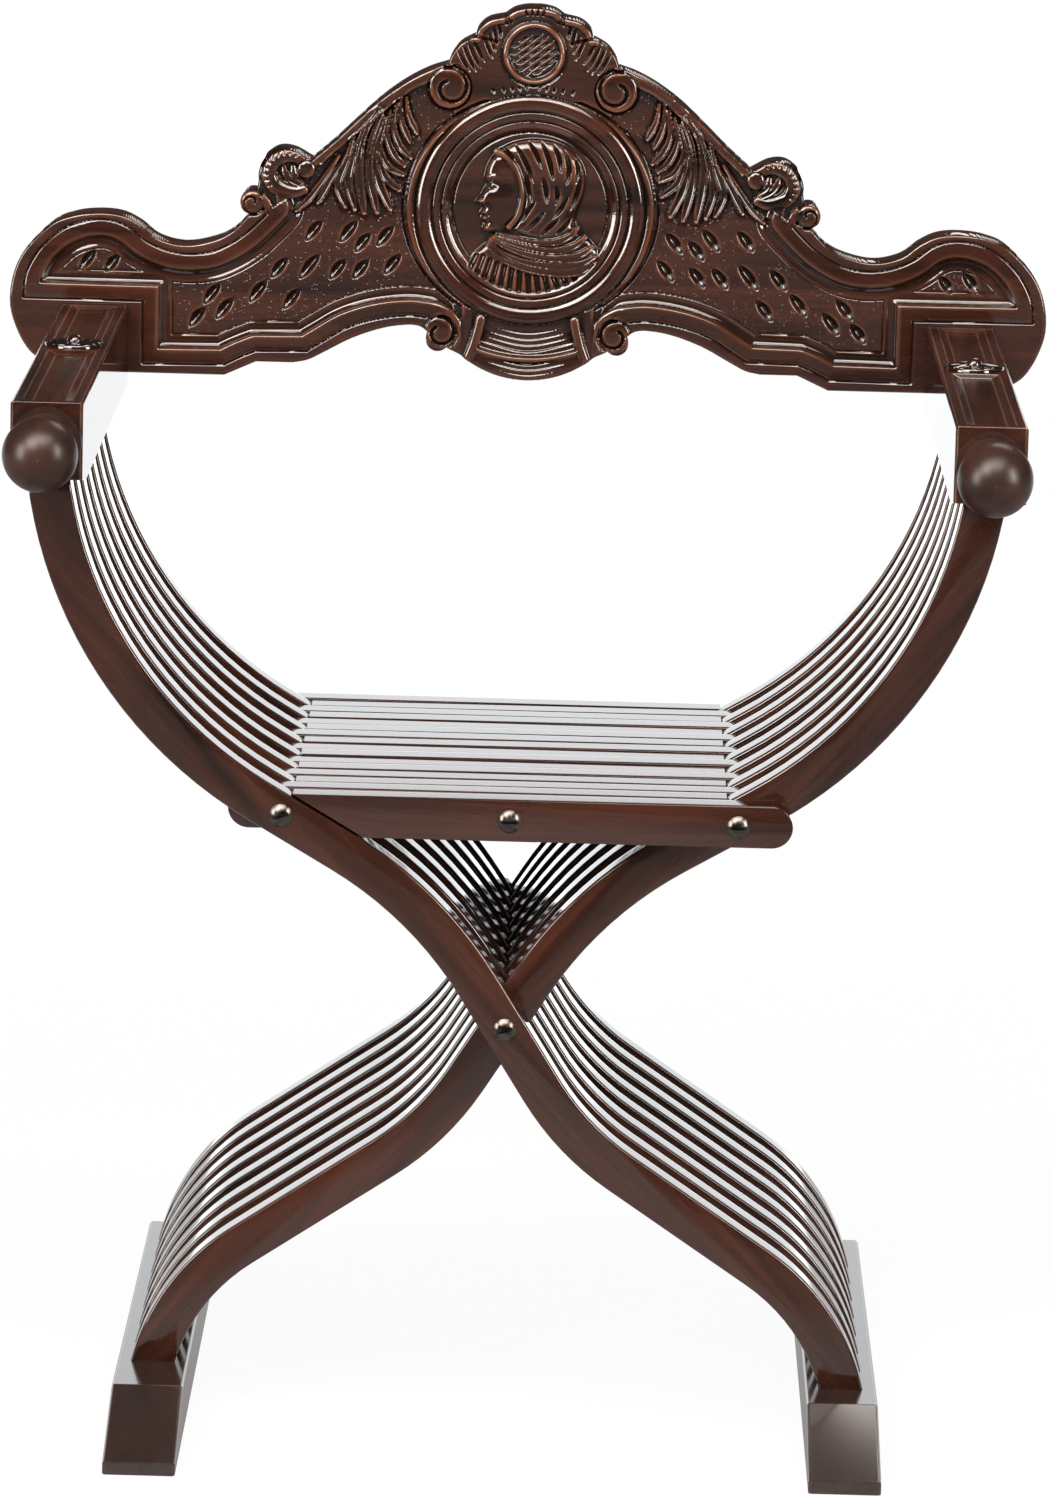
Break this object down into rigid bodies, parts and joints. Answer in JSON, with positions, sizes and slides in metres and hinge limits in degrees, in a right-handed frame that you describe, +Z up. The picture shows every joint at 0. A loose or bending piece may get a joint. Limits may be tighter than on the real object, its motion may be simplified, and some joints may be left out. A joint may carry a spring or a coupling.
{
  "type": "savonarola chair",
  "caption": "Folding armchair of interleaved curved staves crossing on one rod, with a slatted seat, straight arms with ball knobs, foot rails and a carved crest board.",
  "frame": {"origin": "middle of the footprint of the bounding box, on the floor", "axes": "+Z up, -Y toward the sitter's front, +X to the right seen from the front"},
  "size_m": [0.7186, 0.5972, 0.887],
  "materials": {
    "lacquered_wood": "dark walnut stain under a high gloss lacquer",
    "carved_wood": "dark walnut stain, carved and stippled, high gloss lacquer",
    "dark_steel": "blackened slotted steel screws"
  },
  "bodies": {
    "centre_rod": {"cross_rod": "dark_steel", "cross_nut": "dark_steel"},
    "left_frame": {"stave_left_1": "lacquered_wood", "stave_left_2": "lacquered_wood", "stave_left_3": "lacquered_wood", "stave_left_4": "lacquered_wood", "stave_left_5": "lacquered_wood", "stave_left_6": "lacquered_wood", "stave_left_7": "lacquered_wood", "stave_left_8": "lacquered_wood", "arm_left": "lacquered_wood", "knob_left": "lacquered_wood", "arm_rosette_left": "carved_wood", "foot_right": "lacquered_wood", "seat_rod_left": "dark_steel", "seat_nut_left": "dark_steel"},
    "right_frame": {"stave_right_1": "lacquered_wood", "stave_right_2": "lacquered_wood", "stave_right_3": "lacquered_wood", "stave_right_4": "lacquered_wood", "stave_right_5": "lacquered_wood", "stave_right_6": "lacquered_wood", "stave_right_7": "lacquered_wood", "stave_right_8": "lacquered_wood", "arm_right": "lacquered_wood", "knob_right": "lacquered_wood", "arm_rosette_right": "carved_wood", "foot_left": "lacquered_wood", "seat_rod_right": "dark_steel", "seat_nut_right": "dark_steel"},
    "left_seat": {"seat_board_left_1": "lacquered_wood", "seat_board_left_2": "lacquered_wood", "seat_board_left_3": "lacquered_wood", "seat_board_left_4": "lacquered_wood", "seat_board_left_5": "lacquered_wood", "seat_board_left_6": "lacquered_wood", "seat_board_left_7": "lacquered_wood", "seat_board_left_8": "lacquered_wood", "middle_pins_left": "dark_steel", "seat_screw_rear": "dark_steel"},
    "right_seat": {"seat_board_right_1": "lacquered_wood", "seat_board_right_2": "lacquered_wood", "seat_board_right_3": "lacquered_wood", "seat_board_right_4": "lacquered_wood", "seat_board_right_5": "lacquered_wood", "seat_board_right_6": "lacquered_wood", "seat_board_right_7": "lacquered_wood", "seat_board_right_8": "lacquered_wood", "middle_pins_right": "dark_steel", "seat_screw_front": "dark_steel"},
    "crest": {"crest": "carved_wood", "crest_screw_left_lower": "dark_steel", "crest_screw_left_upper": "dark_steel", "crest_screw_right_lower": "dark_steel", "crest_screw_right_upper": "dark_steel"}
  },
  "joints": [
    {"name": "left_fold", "type": "hinge", "parent": "centre_rod", "child": "left_frame", "pos_m": [0, 0, 0.2692], "axis": [0, 1, 0], "range_deg": [0, 30]},
    {"name": "right_fold", "type": "hinge", "parent": "centre_rod", "child": "right_frame", "pos_m": [0, 0, 0.2692], "axis": [0, -1, 0], "range_deg": [0, 30]},
    {"name": "left_seat_fold", "type": "hinge", "parent": "left_frame", "child": "left_seat", "pos_m": [-0.1473, 0, 0.407], "axis": [0, -1, 0], "range_deg": [0, 96.6]},
    {"name": "right_seat_fold", "type": "hinge", "parent": "right_frame", "child": "right_seat", "pos_m": [0.1473, 0, 0.407], "axis": [0, 1, 0], "range_deg": [0, 96.6]},
    {"name": "crest_lift", "type": "slide", "parent": "centre_rod", "child": "crest", "axis": [0, 0, 1], "range_m": [0, 0.12]}
  ],
  "couplings": [
    {"joint": "right_fold", "follows": "left_fold", "ratio": 1},
    {"joint": "left_seat_fold", "follows": "left_fold", "ratio": 3.2177},
    {"joint": "right_seat_fold", "follows": "left_fold", "ratio": 3.2177}
  ]
}
